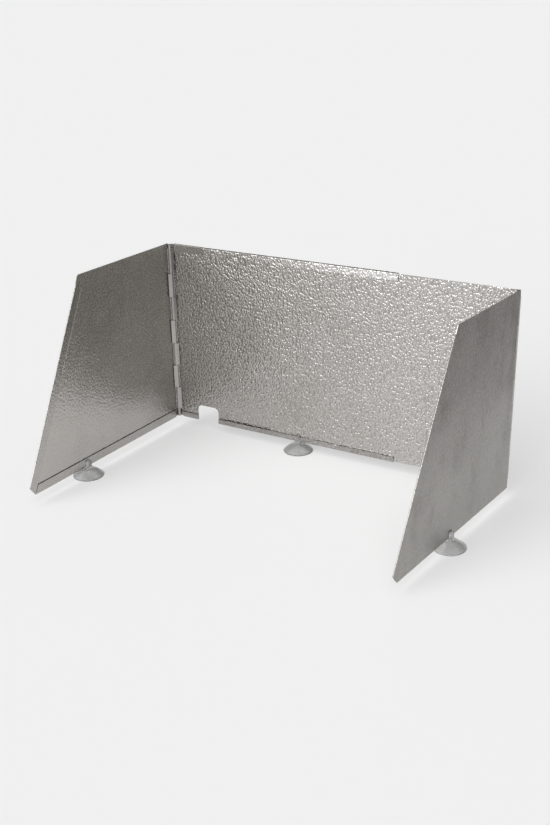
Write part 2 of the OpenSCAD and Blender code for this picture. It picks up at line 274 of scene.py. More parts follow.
def studio_room():
    world = bpy.data.worlds.new("studio_room")
    world.use_nodes = True
    tree = world.node_tree
    way = tree.nodes.new("ShaderNodeTexCoord").outputs["Generated"]
    facing = add_node(tree, "ShaderNodeVectorMath", {"operation": "DOT_PRODUCT"}, _0=way,
                      _1=direction(*GLOW_WAY)).outputs["Value"]
    glow = between(tree, facing, math.cos(GLOW_EDGE), math.cos(GLOW_CORE), ROOM_DIM, ROOM_GLOW)
    paper = between(tree, split(tree, way)[2], math.sin(BACKDROP_EDGE), math.sin(BACKDROP_TOP), 1.0, 0.0)
    light = add_node(tree, "ShaderNodeMix", {"data_type": "FLOAT"}, _0=paper, _2=glow, _3=FLOOR_TONE)
    set_sockets(tree, tree.nodes["Background"], Color=(1, 1, 1, 1), Strength=light.outputs[0])
    return world


scene.world = studio_room()
sun = linked("fill_light", bpy.data.lights.new("fill_light", "SUN"))
sun.data.energy, sun.data.angle = FILL_STRENGTH, FILL_DISC
sun.rotation_euler = direction(*FILL_WAY).to_track_quat("Z", "Y").to_euler()
sun.visible_glossy = False
scene.view_settings.view_transform = "Standard"
print("room:", scene.world.name)

# %% [markdown]
# ## Floor
#
# The floor is matt paper. Left plain, it would show darker shadows than the photograph. So a share of its
# light is even, but only for what looks at it straight or through a mirror or the vinyl. Light that the
# paper scatters on to the screen keeps its true strength.

# %% Floor
FLOOR_HALF = 40.0
SHADOW_SHARE = 0.5


def pale_paper():
    material = bpy.data.materials.new("pale_floor")
    material.use_nodes = True
    tree = material.node_tree
    tone = (FLOOR_TONE, FLOOR_TONE, FLOOR_TONE, 1)
    paper = add_node(tree, "ShaderNodeBsdfDiffuse", Color=tone).outputs[0]
    even = add_node(tree, "ShaderNodeEmission", Color=tone, Strength=1.0).outputs[0]
    ray = tree.nodes.new("ShaderNodeLightPath").outputs
    looking = math_node(tree, "MAXIMUM", ray["Is Camera Ray"], ray["Is Glossy Ray"])
    looking = math_node(tree, "MAXIMUM", looking, ray["Is Transmission Ray"])
    # The depth counts whole bounces, so less than a half means that nothing has scattered the ray yet.
    looking = math_node(tree, "MULTIPLY", looking, math_node(tree, "LESS_THAN", ray["Diffuse Depth"], 0.5))
    share = math_node(tree, "MULTIPLY", looking, 1 - SHADOW_SHARE)
    mix = add_node(tree, "ShaderNodeMixShader", _0=share, _1=paper, _2=even).outputs[0]
    set_sockets(tree, tree.nodes["Material Output"], Surface=mix)
    return material


floor = linked("floor", bpy.data.meshes.new("floor"))
corners = [(x * FLOOR_HALF, y * FLOOR_HALF, 0) for x, y in ((-1, -1), (1, -1), (1, 1), (-1, 1))]
floor.data.from_pydata(corners, [], [(0, 1, 2, 3)])
floor.data.materials.append(pale_paper())
print("stage:", floor.name, "in", floor.data.materials[0].name)

# %% [markdown]
# ## The stucco pattern
#
# Stucco sheet is rolled between patterned rolls, which leave rounded, uneven bumps a few millimetres wide.
# The same graph is used twice: Geometry Nodes press the bumps into the mesh, and the material repeats them
# as a bump, so that they stay crisp between the points of the grid. Cells of a Voronoi texture, bent by some
# noise, give the bumps. The graph reads a place on the flat sheet, counted in bumps.

# %% Stucco pattern
GRAIN_ALONG, GRAIN_UP = 2.6 * MM, 3.1 * MM
EMBOSS_DEPTH = 0.335 * MM
EMBOSS_WARP = 1.1
DOME_TOP, DOME_FOOT = 0.05, 0.65
SWELL_SHARE = 0.5


def flat_noise(tree, coords, scale, detail):
    return add_node(tree, "ShaderNodeTexNoise", {"noise_dimensions": "2D"}, Vector=coords, Scale=scale,
                    Detail=detail).outputs


def stucco(tree, cells, warp):
    """Depth of the embossing, 0 on top of a bump and 1 between bumps."""
    bend = flat_noise(tree, cells, 0.8, 2.0)["Color"]
    bend = vector_node(tree, "SUBTRACT", bend, (0.5, 0.5, 0.5))
    cells = vector_node(tree, "ADD", cells, scaled(tree, bend, warp))
    domes = add_node(tree, "ShaderNodeTexVoronoi", {"voronoi_dimensions": "2D", "feature": "SMOOTH_F1"},
                     Vector=cells, Scale=1.0, Smoothness=0.3, Randomness=1.0).outputs["Distance"]
    swell = math_node(tree, "SUBTRACT", flat_noise(tree, cells, 0.9, 1.0)[0], 0.5)
    low = add_node(tree, "ShaderNodeMapRange", Value=domes, From_Min=DOME_TOP, From_Max=DOME_FOOT).outputs[0]
    depth = math_node(tree, "MULTIPLY_ADD", swell, SWELL_SHARE, low)
    return add_node(tree, "ShaderNodeClamp", Value=depth).outputs[0]


print(f"bumps {GRAIN_ALONG / MM:.1f} by {GRAIN_UP / MM:.1f} mm, {EMBOSS_DEPTH / MM:.2f} deep")

# %% [markdown]
# ## Finish of the sheet
#
# The aluminium is dull mill sheet. Its inside is a light warm grey with faint stains. Its outside is
# weathered and darker, with painted shade that darkens it further towards the top. The pits of the embossing
# get painted shade and some dirt. The knuckles are a little brighter from wear, and painted highlights
# brighten the top flange, the free edge of the front hem and the slider's inside towards its hinge. All this
# stays one material, because it is one sheet: the mesh carries an attribute called finish, whose three
# numbers say how weathered, how much brightened by wear and painted highlights, and how deeply embossed
# each point is. Stains and grain use Object coordinates, in metres.

# %% Colours of the sheet
BRIGHT_SHEET = (0.475, 0.458, 0.436, 1)
STAINED_SHEET = (0.365, 0.35, 0.33, 1)
WEATHERED_SHEET = (0.40, 0.386, 0.37, 1)
SMEAR_AND_SHADE_SHEET = (0.15, 0.14, 0.13, 1)
# Brighter sheet for wear on the knuckles and for painted highlights.
WEAR_AND_SHEEN_SHEET = (0.80, 0.788, 0.77, 1)
# The second share darkens the pits of the embossing: painted shade, with some dirt.
STAIN_SHARE, PIT_DIRT_AND_SHADE, SPECKLE = 0.5, 0.3, 0.1
# Painted shade: the outside darkens by this much between these two heights, in metres.
TOP_SHADE, SHADE_FROM, SHADE_TO = 0.8, 0.04, 0.26
SMEAR_STRETCH = (30, 30, 20)


def sheet_colour(tree, place, weathered, wear_and_sheen, depth, stains, speckle):
    stretched = vector_node(tree, "MULTIPLY", place, SMEAR_STRETCH)
    smears_and_shade = between(tree, noise(tree, stretched, 1, detail=6), 0.40, 0.85, 0.0, 0.4)
    # Painted shade: the outside gets darker towards the top.
    top_shade = between(tree, split(tree, place)[2], SHADE_FROM, SHADE_TO, 0.0, TOP_SHADE)
    smears_and_shade = math_node(tree, "ADD", smears_and_shade, top_shade)
    smears_and_shade = math_node(tree, "ADD", smears_and_shade, between(tree, speckle, 0.3, 0.7, -SPECKLE, SPECKLE))
    inside = mixed(tree, math_node(tree, "MULTIPLY", stains, STAIN_SHARE), BRIGHT_SHEET, STAINED_SHEET)
    # The dark colour serves both the smears and the painted shade.
    outside = mixed(tree, smears_and_shade, WEATHERED_SHEET, SMEAR_AND_SHADE_SHEET)
    colour = mixed(tree, weathered, inside, outside)
    # Wear on the knuckles, and painted highlights on the top flange, the front hem and the slider.
    colour = mixed(tree, wear_and_sheen, colour, WEAR_AND_SHEEN_SHEET)
    # Painted shade, with some dirt, in the pits of the embossing.
    pit_dirt_and_shade = math_node(tree, "MULTIPLY", between(tree, depth, 0.6, 1.0), PIT_DIRT_AND_SHADE)
    return mixed(tree, pit_dirt_and_shade, colour, SMEAR_AND_SHADE_SHEET)


# %% Embossed aluminium
SMOOTHEST, ROUGHEST = 0.20, 0.28
WEATHERED_ROUGH, STAINED_ROUGH = 0.12, 0.06
DRAW_SHARE, FINE_GRAIN = 0.5, 0.03
# How many stains, speckles and grains there are to a metre, and the draw lines across and along.
STAINS, SPECKLES, GRAINS, DRAW_STRETCH = 14, 420, 1500, (2200, 2200, 60)


def sheet_relief(tree, place, depth):
    """The embossing, with the fine grain of the rolled metal and its draw lines on top."""
    grain = noise(tree, place, GRAINS, detail=2)
    draw_lines = noise(tree, vector_node(tree, "MULTIPLY", place, DRAW_STRETCH), 1, detail=2)
    fine = math_node(tree, "MULTIPLY_ADD", draw_lines, DRAW_SHARE, grain)
    relief = math_node(tree, "SUBTRACT", math_node(tree, "MULTIPLY", fine, FINE_GRAIN), depth)
    return add_node(tree, "ShaderNodeBump", Strength=1.0, Distance=EMBOSS_DEPTH, Height=relief).outputs[0]


def embossed_aluminium():
    material, tree, shader, place = new_material("embossed_aluminium_sheet")
    finish, cells = (add_node(tree, "ShaderNodeAttribute", {"attribute_name": name}).outputs["Vector"]
                     for name in ("finish", "cells"))
    weathered, wear_and_sheen, embossed = split(tree, finish)
    depth = math_node(tree, "MULTIPLY", stucco(tree, cells, EMBOSS_WARP), embossed)
    stains = between(tree, noise(tree, place, STAINS, detail=4), 0.42, 0.72)
    speckle = noise(tree, place, SPECKLES, detail=2)
    rough = between(tree, speckle, 0.25, 0.75, SMOOTHEST, ROUGHEST)
    rough = math_node(tree, "MULTIPLY_ADD", weathered, WEATHERED_ROUGH, rough)
    rough = math_node(tree, "MULTIPLY_ADD", stains, STAINED_ROUGH, rough)
    colour = sheet_colour(tree, place, weathered, wear_and_sheen, depth, stains, speckle)
    set_sockets(tree, shader, Base_Color=colour, Metallic=1.0, Roughness=rough,
                Normal=sheet_relief(tree, place, depth))
    return material


sheet_finish = embossed_aluminium()
print("finish:", sheet_finish.name, "with", len(sheet_finish.node_tree.nodes), "nodes")

# %% [markdown]
# ## A folded sheet as one mesh
#
# A sheet metal part is a flat blank that has been folded. So each panel starts as a grid of points on the
# middle of the sheet, with a direction towards its inner face at each point, and a mask of the cells that
# the blank has. Thickness and cut edges then make it one closed mesh. Solidify could thicken it too, but
# here the two faces also need their own attributes: blank, the place on the flat sheet, press, which way and
# how strongly the embossing rolls push each point in, and finish.

# %% Places on a grid
GRID = 1.42
# Smaller than any step of the grid.
TINY = 1e-6


def stations(breaks, step):
    """Places along a line: every break is kept, and no two neighbours are further apart than the step."""
    spans = zip(breaks, breaks[1:])
    parts = [np.linspace(a, b, math.ceil((b - a) / step - TINY) + 1)[:-1] for a, b in spans]
    return np.concatenate([*parts, breaks[-1:]])


def cell_middle(values):
    return (values[:-1, :-1] + values[1:, :-1] + values[:-1, 1:] + values[1:, 1:]) / 4


def beside(keep, removed):
    """Points of the grid that touch both a kept cell and a removed one."""
    def touching(cells):
        padded = np.pad(cells, 1)
        return padded[:-1, :-1] | padded[1:, :-1] | padded[:-1, 1:] | padded[1:, 1:]
    return touching(keep) & touching(removed)


def eased(share):
    share = np.clip(share, 0, 1)
    return share * share * (3 - 2 * share)


print("a 10 mm line in steps of 4:", stations([0.0, 10.0], 4).round(2).tolist())

# %% From a grid of cells to a closed sheet


def turned(vectors, turn, mirrored):
    """Local vectors turned about the upright axis, and mirrored for a right-hand piece."""
    c, s = math.cos(turn), math.sin(turn)
    out = vectors @ np.array([[c, s, 0], [-s, c, 0], [0, 0, 1]])
    return out * (-1, 1, 1) if mirrored else out


def sheet_faces(middle, inward, keep):
    """Quads of the inner face, of the outer one, whose points follow the inner ones, and of the cut edges."""
    count = len(middle)
    at = np.arange(count).reshape(keep.shape[0] + 1, keep.shape[1] + 1)
    a, b, c, d = (at[:-1, :-1][keep], at[:-1, 1:][keep], at[1:, 1:][keep], at[1:, :-1][keep])
    normals = np.cross(middle[b] - middle[a], middle[d] - middle[a])
    if (normals * inward[a]).sum() < 0:
        b, d = d, b
    inner = np.stack([a, b, c, d], 1)
    edges = np.concatenate([np.stack([inner[:, i], inner[:, (i + 1) % 4]], 1) for i in range(4)])
    codes, back_codes = edges[:, 0] * count + edges[:, 1], edges[:, 1] * count + edges[:, 0]
    rim = edges[~np.isin(codes, back_codes)]
    walls = np.stack([rim[:, 1], rim[:, 0], rim[:, 0] + count, rim[:, 1] + count], 1)
    return np.concatenate([inner, inner[:, ::-1] + count, walls])


def closed_sheet(name, mid, toward, keep, blank, press, finish, origin, turn=0.0, mirrored=False):
    """A sheet of constant thickness. mid, toward and blank are (rows, columns, 3) in local millimetres, press
    has the (inner, outer) shares of the embossing, finish the (inner, outer) weathering and brightening by
    wear and painted highlights."""
    inward = turned(toward, turn, mirrored).reshape(-1, 3)
    middle = (turned(mid, turn, mirrored) * MM + np.array(origin)).reshape(-1, 3)
    half = SHEET / 2 * MM * inward
    points = np.concatenate([middle + half, middle - half])
    shares = [share.reshape(-1, 1) for share in press]
    pressing = np.concatenate([-inward * shares[0], inward * shares[1]])
    finishes = np.concatenate([f.reshape(-1, 3) for f in finish])
    finishes[:, 2:] = np.concatenate(shares)
    flat = np.concatenate([blank.reshape(-1, 3)] * 2) * MM

    used, faces = np.unique(sheet_faces(middle, inward, keep), return_inverse=True)
    mesh = bpy.data.meshes.new(name)
    mesh.from_pydata(points[used].tolist(), [], faces.reshape(-1, 4).tolist())
    for label, values in (("blank", flat), ("press", pressing), ("finish", finishes)):
        attribute = mesh.attributes.new(label, "FLOAT_VECTOR", "POINT")
        attribute.data.foreach_set("vector", values[used].astype(np.float32).ravel())
    return linked(name, mesh)


# %% [markdown]
# ## Folded edges
#
# A hem is the same everywhere: the sheet runs down, turns half a circle and comes back up. This helper gives
# the rows of such an edge, from the free end of the return leg to the fold line. The fold radius may change
# along the edge, which is how the flange of the fixed back opens from its pressed end into a channel.

# %% Folded edges
ARC_ROWS = 7


def folded_edge(fold_r, leg_w):
    """Rows of a folded edge for each fold radius in a list: distance off the sheet, height, inner direction
    (two numbers) and the length on the flat blank, counted down from the fold line."""
    fold_r = np.atleast_1d(np.asarray(fold_r, float))
    mid_r = fold_r - SHEET / 2
    leg_rows = math.ceil((leg_w - fold_r.max()) / GRID)
    share = np.linspace(1, 0, leg_rows + 1)[:, None]
    leg_z = fold_r + share * (leg_w - fold_r)
    angle = np.linspace(math.pi, 0, ARC_ROWS + 1)[1:-1, None] * np.ones_like(fold_r)
    off = np.concatenate([2 * mid_r * np.ones_like(share), mid_r * (1 - np.cos(angle))])
    height = np.concatenate([leg_z, fold_r - mid_r * np.sin(angle)])
    in_off = np.concatenate([-np.ones_like(leg_z), np.cos(angle)])
    in_up = np.concatenate([np.zeros_like(leg_z), np.sin(angle)])
    length = np.concatenate([math.pi * mid_r + leg_z - fold_r, mid_r * angle])
    return off, height, in_off, in_up, length


print("rows of a 10 mm leg with its fold:", len(folded_edge(1.0, 10.0)[0]))

# %% [markdown]
# ## Embossing
#
# The bumps could be left to the material alone, but then the edges and the mesh itself would stay flat.
# This small tree presses them into the mesh. It reads the place on the flat blank, so the pattern runs round
# the folds as it does on real sheet, and it keeps that place for the material. Points only move into the
# sheet, so the bumps end at the true face and no clearance is lost.

# %% Embossing tree


def embossing_tree():
    tree, given = modifier_tree("stucco_emboss", {
        "Grain Along": "Float", "Grain Up": "Float", "Depth": "Float", "Warp": "Float", "Seed": "Float",
        "Material": "Material"})
    blank, press = (add_node(tree, "GeometryNodeInputNamedAttribute", {"data_type": "FLOAT_VECTOR"},
                             Name=name).outputs[0] for name in ("blank", "press"))
    seed = add_node(tree, "ShaderNodeCombineXYZ", X=given["Seed"], Y=given["Seed"]).outputs[0]
    grain = add_node(tree, "ShaderNodeCombineXYZ", X=given["Grain Along"], Y=given["Grain Up"], Z=1.0)
    cells = vector_node(tree, "ADD", vector_node(tree, "DIVIDE", blank, grain.outputs[0]), seed)
    kept = add_node(tree, "GeometryNodeStoreNamedAttribute", {"data_type": "FLOAT_VECTOR", "domain": "POINT"},
                    Geometry=given["Geometry"], Name="cells", Value=cells).outputs[0]
    depth = math_node(tree, "MULTIPLY", stucco(tree, cells, given["Warp"]), given["Depth"])
    pressed = add_node(tree, "GeometryNodeSetPosition", Geometry=kept, Offset=scaled(tree, press, depth))
    finish_tree(tree, pressed.outputs[0], given["Material"])
    return tree


emboss = embossing_tree()

# %% [markdown]
# ## Rolled knuckles
#
# Each panel's hinge edge ends in tabs that are rolled round the wire, every second one on each leaf. The lip
# of each roll leaves the wire and runs straight back to its own sheet. One tab is made as a folded sheet, and
# a second tree repeats it up the hinge and joins it to its panel. Use leaves the rolls a little rubbed.

# %% Row of knuckles
KNUCKLE_PITCH = (PANEL_H - KNUCKLE_LOW - KNUCKLE_TOP) / KNUCKLES


def knuckle_tree():
    tree, given = modifier_tree("hinge_knuckles", {
        "Knuckle": "Object", "Count": "Int", "Lowest": "Float", "Spacing": "Float", "Material": "Material"})
    start = add_node(tree, "ShaderNodeCombineXYZ", Z=given["Lowest"]).outputs[0]
    step = add_node(tree, "ShaderNodeCombineXYZ", Z=given["Spacing"]).outputs[0]
    places = add_node(tree, "GeometryNodeMeshLine", Count=given["Count"], Start_Location=start, Offset=step)
    knuckle = add_node(tree, "GeometryNodeObjectInfo", Object=given["Knuckle"]).outputs["Geometry"]
    row = add_node(tree, "GeometryNodeInstanceOnPoints", Points=places.outputs[0], Instance=knuckle)
    both = tree.nodes.new("GeometryNodeJoinGeometry")
    tree.links.new(given["Geometry"], both.inputs[0])
    tree.links.new(row.outputs[0], both.inputs[0])
    finish_tree(tree, both.outputs[0], given["Material"])
    return tree


knuckle_row = knuckle_tree()
print("knuckle pitch in mm:", round(KNUCKLE_PITCH, 2))

# %% One knuckle
LIP_ANGLE = math.radians(58)
LIP_GAP = 0.4
LIP_LEN = (BORE_R + BORE_R * math.cos(LIP_ANGLE) - LIP_GAP) / math.sin(LIP_ANGLE)
TAB_LAP = 1.5
ROLL_STEPS, LIP_STEPS = 34, 4
KNUCKLE_STEP = 4
KNUCKLE_WEATHER, KNUCKLE_RUB = 0.5, 0.15


def knuckle_line():
    """Plan of a tab, along the sheet, round the axis and out to the lip, with its inner directions."""
    mid_r = ROLL_R - SHEET / 2
    angle = np.linspace(math.pi / 2, 1.5 * math.pi + LIP_ANGLE, ROLL_STEPS)
    ring = np.stack([np.cos(angle), np.sin(angle)], 1)
    tab = np.array([[LEAF_EDGE + TAB_LAP, mid_r], [LEAF_EDGE, mid_r], [LEAF_EDGE / 2, mid_r]])
    lip_way = np.array([math.cos(LIP_ANGLE), math.sin(LIP_ANGLE)])
    lip = mid_r * ring[-1] + LIP_LEN * np.linspace(1 / LIP_STEPS, 1, LIP_STEPS)[:, None] * lip_way
    line = np.concatenate([tab, mid_r * ring, lip])
    inner = np.concatenate([np.tile([0.0, -1.0], (len(tab), 1)), -ring, np.tile(-ring[-1], (LIP_STEPS, 1))])
    return line, inner


def rolled_knuckle(origin, flipped, turn=0.0, mirrored=False):
    """One tab at the bottom of its hinge. The wings' tabs are flipped to the other side of the axis."""
    line, inner = knuckle_line()
    if flipped:
        line, inner = line * (1, -1), inner * (1, -1)
    heights = stations([0.0, KNUCKLE_PITCH - KNUCKLE_GAP], KNUCKLE_STEP)
    shape = (len(heights), len(line))
    mid, toward, finish = np.zeros((3, *shape, 3))
    mid[..., :2], mid[..., 2] = line, heights[:, None]
    toward[..., :2] = inner
    finish[..., 0], finish[..., 1] = KNUCKLE_WEATHER, KNUCKLE_RUB
    keep = np.ones((shape[0] - 1, shape[1] - 1), bool)
    unpressed = np.zeros(shape)
    return closed_sheet("knuckle", mid, toward, keep, blank=mid * 0, press=(unpressed, unpressed),
                        finish=(finish, finish), origin=origin, turn=turn, mirrored=mirrored)


print("length of a lip in mm:", round(LIP_LEN, 2))

# %% [markdown]
# ## Finishing a panel
#
# All four panels go through the same steps: knuckles on, embossing in, made a plain mesh, shaded smooth up
# to the sharp cut edges, and attached to their moving body, with the CAD node hidden. The rolls press the
# inside of the back at full depth, the outside and the wings less, and the inside of a fold hardly.

# %% Finishing a panel
SHARP_EDGE = math.radians(52)
OUTER_PRESS = 0.6
FOLD_PRESS = 0.3


def between_corners(across, height):
    """Cells of the strip along a hinge edge that only the corners above and below the knuckles have."""
    return (across < LEAF_EDGE) & (height > LOW_CORNER) & (height < TOP_CORNER)


def finishes(outer_weather):
    """Finish of both faces: the outer one weathered by the given shares, neither brightened yet."""
    both = np.zeros((2, *outer_weather.shape, 3))
    both[1, ..., 0] = outer_weather
    return both


def finish_panel(piece, knuckle, first, node, body, seed):
    """first is the lowest place in the row of knuckles, 0 or 1, that this leaf takes."""
    last = first + 2 * ((KNUCKLES - 1 - first) // 2)
    lowest = PANEL_H - KNUCKLE_TOP - (last + 1) * KNUCKLE_PITCH + KNUCKLE_GAP / 2
    use_tree(piece, knuckle_row, {
        "Knuckle": knuckle, "Count": (last - first) // 2 + 1, "Lowest": lowest * MM,
        "Spacing": 2 * KNUCKLE_PITCH * MM, "Material": sheet_finish})
    use_tree(piece, emboss, {
        "Grain Along": GRAIN_ALONG, "Grain Up": GRAIN_UP, "Depth": EMBOSS_DEPTH, "Warp": EMBOSS_WARP,
        "Seed": seed, "Material": sheet_finish})
    made_plain(piece)
    bpy.data.objects.remove(knuckle)
    piece.data.set_sharp_from_angle(angle=SHARP_EDGE)
    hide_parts(node)
    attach(piece, body)
    print(piece.name, "has", len(piece.data.polygons), "faces")


# %% [markdown]
# ## Fixed back panel
#
# The blank is one grid from the free edge of the bottom flange to that of the top one. Beside the hinge both
# flanges are pressed flat, further on they open into the channel that guides the slider, so the fold radius
# grows along the edge. The hose notch is cut through flange and sheet: its cells are left out, and the
# points round its two upper corners are drawn on to the arcs. The leg of the top flange gets a painted
# highlight, brighter and brighter towards its open end.

# %% Rows of the fixed back panel
TOP_FLANGE, BOTTOM_FLANGE = 10.0, 7.5
CHANNEL_R, PRESSED_R = 1.5, 0.9
PRESSED_END, FLARE = 46.0, 9.0
NOTCH_X, NOTCH_W, NOTCH_H, NOTCH_R = 31.0, 33.5, 22.5, 7.0
NOTCH_END = NOTCH_X + NOTCH_W
EDGE_BAND = 3.0


def fixed_rows(x):
    """The rows of folded_edge for the whole panel, and the flange that a point is on: -1 for the bottom one,
    1 for the top one, 0 for the sheet between them."""
    low_r = PRESSED_R + (CHANNEL_R - PRESSED_R) * eased((x - NOTCH_END) / FLARE)
    top_r = PRESSED_R + (CHANNEL_R - PRESSED_R) * eased((x - PRESSED_END) / FLARE)
    low = folded_edge(low_r, BOTTOM_FLANGE)
    top = [rows[::-1] for rows in folded_edge(top_r, TOP_FLANGE)]
    inside = stations([EDGE_BAND, LOW_CORNER, NOTCH_H, TOP_CORNER, PANEL_H - EDGE_BAND], GRID)
    flat_z = np.concatenate([low_r[None], inside[:, None] * np.ones_like(x), PANEL_H - top_r[None]])
    none = np.zeros_like(flat_z)
    return [np.concatenate(part) for part in (
        (low[0], none, top[0]),
        (low[1], flat_z, PANEL_H - top[1]),
        (low[2], none + 1, top[2]),
        (low[3], none, -top[3]),
        (low_r - low[4], flat_z, PANEL_H - top_r + top[4]),
        (low[0] * 0 - 1, none, top[0] * 0 + 1))]


print(f"channel {2 * (CHANNEL_R - SHEET):.1f} wide inside, notch {NOTCH_W} by {NOTCH_H}")

# %% Fixed back panel
PRESSED_FLAT = 0.12


def notch_corner(across):
    """Where the middle of the nearer upper corner's arc lies."""
    return np.clip(across, NOTCH_X + NOTCH_R, NOTCH_END - NOTCH_R), NOTCH_H - NOTCH_R


def notch_cells(cell_x, cell_z, folded):
    corner_x, corner_z = notch_corner(cell_x)
    cut = np.hypot(cell_x - corner_x, cell_z - np.minimum(cell_z, corner_z)) < NOTCH_R
    cut |= (folded < 0) & (cell_x > NOTCH_X) & (cell_x < NOTCH_END)
    return cut & (folded <= 0)


def fixed_back_panel():
    x = stations([CORNER_EDGE, LEAF_EDGE, CORNER_RELIEF, NOTCH_X, NOTCH_END, FIXED_LEN], GRID)
    off, height, in_off, in_up, length, flange = fixed_rows(x)
    across, none = np.ones_like(off) * x, np.zeros_like(off)

    cell_x, cell_z, folded = map(cell_middle, (across, height, flange))
    notch = notch_cells(cell_x, cell_z, folded)
    keep = ~notch & ((folded == 0) | (cell_x > CORNER_RELIEF)) & ~between_corners(cell_x, cell_z)
    corner_x, corner_z = notch_corner(across)
    on_corner = beside(keep, notch) & (flange == 0) & (height > corner_z) & (across != corner_x)
    reach = np.hypot(across - corner_x, height - corner_z).clip(TINY)
    across = np.where(on_corner, corner_x + (across - corner_x) * NOTCH_R / reach, across)
    height = np.where(on_corner, corner_z + (height - corner_z) * NOTCH_R / reach, height)

    opens_at = np.where(flange < 0, NOTCH_END, PRESSED_END)
    open_share = eased((across - opens_at) / FLARE)
    flange_press = PRESSED_FLAT + (1 - PRESSED_FLAT) * open_share
    # The straight leg of the top flange faces back.
    top_leg = (flange > 0) & (in_off == -1)
    finish = finishes(np.where(top_leg, 0.0, 1.0))
    # Painted highlight on the leg of the top flange, growing towards its open end.
    finish[1][..., 1] = np.where(top_leg, open_share * eased(across / FIXED_LEN) ** 2, 0.0)
    piece = closed_sheet(
        "back_sheet", keep=keep, finish=finish,
        mid=np.stack([across, SHEET / 2 - off, height], -1),
        toward=np.stack([none, -in_off, in_up], -1),
        blank=np.stack([across, length, none], -1),
        press=(np.where(flange == 0, 1.0, FOLD_PRESS), np.where(flange == 0, OUTER_PRESS, flange_press)),
        origin=Vector((left_axis.x, fixed_high.y - SHEET * MM, BOTTOM_Z)))
    knuckle = rolled_knuckle(left_foot, flipped=False)
    finish_panel(piece, knuckle, first=0, node="fixed_back_panel", body="back", seed=3.0)


fixed_back_panel()

# %% [markdown]
# ## Sliding back panel
#
# The slider is a plain sheet with cut edges. It lies in front of the fixed sheet, between the flanges, and
# ends in the knuckles of the right hinge. Its inside gets a painted sheen, a little brighter towards that
# hinge.

# %% Sliding back panel
# How much brighter the painted sheen makes the inside at the hinge.
HINGE_SHEEN = 0.3


def sliding_back_panel():
    x = stations([CORNER_EDGE, LEAF_EDGE, SLIDER_LEN], GRID)
    foot, head = (slider_low.z - BOTTOM_Z) / MM, (slider_high.z - BOTTOM_Z) / MM
    across, height = np.meshgrid(x, stations([foot, LOW_CORNER, TOP_CORNER, head], GRID))
    none = np.zeros_like(across)
    finish = finishes(none + 1)
    # Painted sheen on the inside, brighter towards the hinge.
    finish[0][..., 1] = HINGE_SHEEN * (1 - eased(across / SLIDER_LEN))
    piece = closed_sheet(
        "slider_sheet", keep=~between_corners(cell_middle(across), cell_middle(height)), finish=finish,
        mid=np.stack([across, none - SHEET / 2, height], -1),
        toward=np.stack([none, none - 1, none], -1),
        blank=np.stack([across, height, none], -1),
        press=(none + 1, none + OUTER_PRESS),
        origin=Vector((right_axis.x, slider_high.y, BOTTOM_Z)), mirrored=True)
    knuckle = rolled_knuckle(right_foot, flipped=False, mirrored=True)
    finish_panel(piece, knuckle, first=0, node="sliding_back_panel", body="slider", seed=11.0)


sliding_back_panel()

# %% [markdown]
# ## Outline of a wing
#
# A wing is a tapered blank. Its front edge slants back, the lower front tip is clipped, and the upper front
# corner is rounded. The outline keeps these lines in one place: u runs from the hinge axis to the front and
# z up. As on the notch, points beside a cut are drawn on to its line, which keeps the edge clean.

# %% Outline of a wing
CLIP_LEN, CLIP_H = 14.5, 12.0


class WingOutline:
    def __init__(self, bottom_len, top_len, corner_r):
        self.bottom_len, self.top_len, self.corner_r = bottom_len, top_len, corner_r
        lean = math.atan((bottom_len - top_len) / PANEL_H)
        self.out_u, self.out_z = math.cos(lean), math.sin(lean)
        self.clip_u = bottom_len - CLIP_LEN
        clip_way = np.array([self.front(CLIP_H) - self.clip_u, CLIP_H])
        self.clip_way = clip_way / np.hypot(*clip_way)
        run = corner_r / math.tan(math.pi / 4 + lean / 2)
        self.round_u, self.round_z = top_len - run, PANEL_H - corner_r
        self.chord = (run * (1 + math.sin(lean)), -run * math.cos(lean))

    def front(self, z):
        return self.bottom_len - (self.bottom_len - self.top_len) * z / PANEL_H

    def past_clip(self, u, z):
        return (u - self.clip_u) * self.clip_way[1] - z * self.clip_way[0]

    def past_round(self, u, z):
        beyond = (u - self.round_u) * self.chord[1] - (z - PANEL_H) * self.chord[0] < 0
        return beyond & (np.hypot(u - self.round_u, z - self.round_z) > self.corner_r)

    def on_clip(self, u, z):
        over = self.past_clip(u, z)
        return u - over * self.clip_way[1], z + over * self.clip_way[0]

    def on_round(self, u, z):
        reach = np.hypot(u - self.round_u, z - self.round_z).clip(TINY)
        return (self.round_u + (u - self.round_u) * self.corner_r / reach,
                self.round_z + (z - self.round_z) * self.corner_r / reach)


left_outline = WingOutline(bottom_len=297.0, top_len=175.0, corner_r=4.5)
right_outline = WingOutline(bottom_len=273.5, top_len=150.0, corner_r=1.5)
print("front edges lean back by", [round(o.out_z / o.out_u, 3) for o in (left_outline, right_outline)])

# %% [markdown]
# ## Grid of a wing
#
# A wing has two hems: one along the bottom, and one along the slanting front edge, which starts a little
# below the top. The grid follows the taper, so its columns lean more and more towards the front, and the
# front hem is folded square to the leaning edge. Both parts are sets of named arrays, joined at the end.

# %% Grid of a wing
HEM_R, HEM_W = 1.0, 11.5
HEM_DROP = 10.0
HEM_TOP = PANEL_H - HEM_DROP


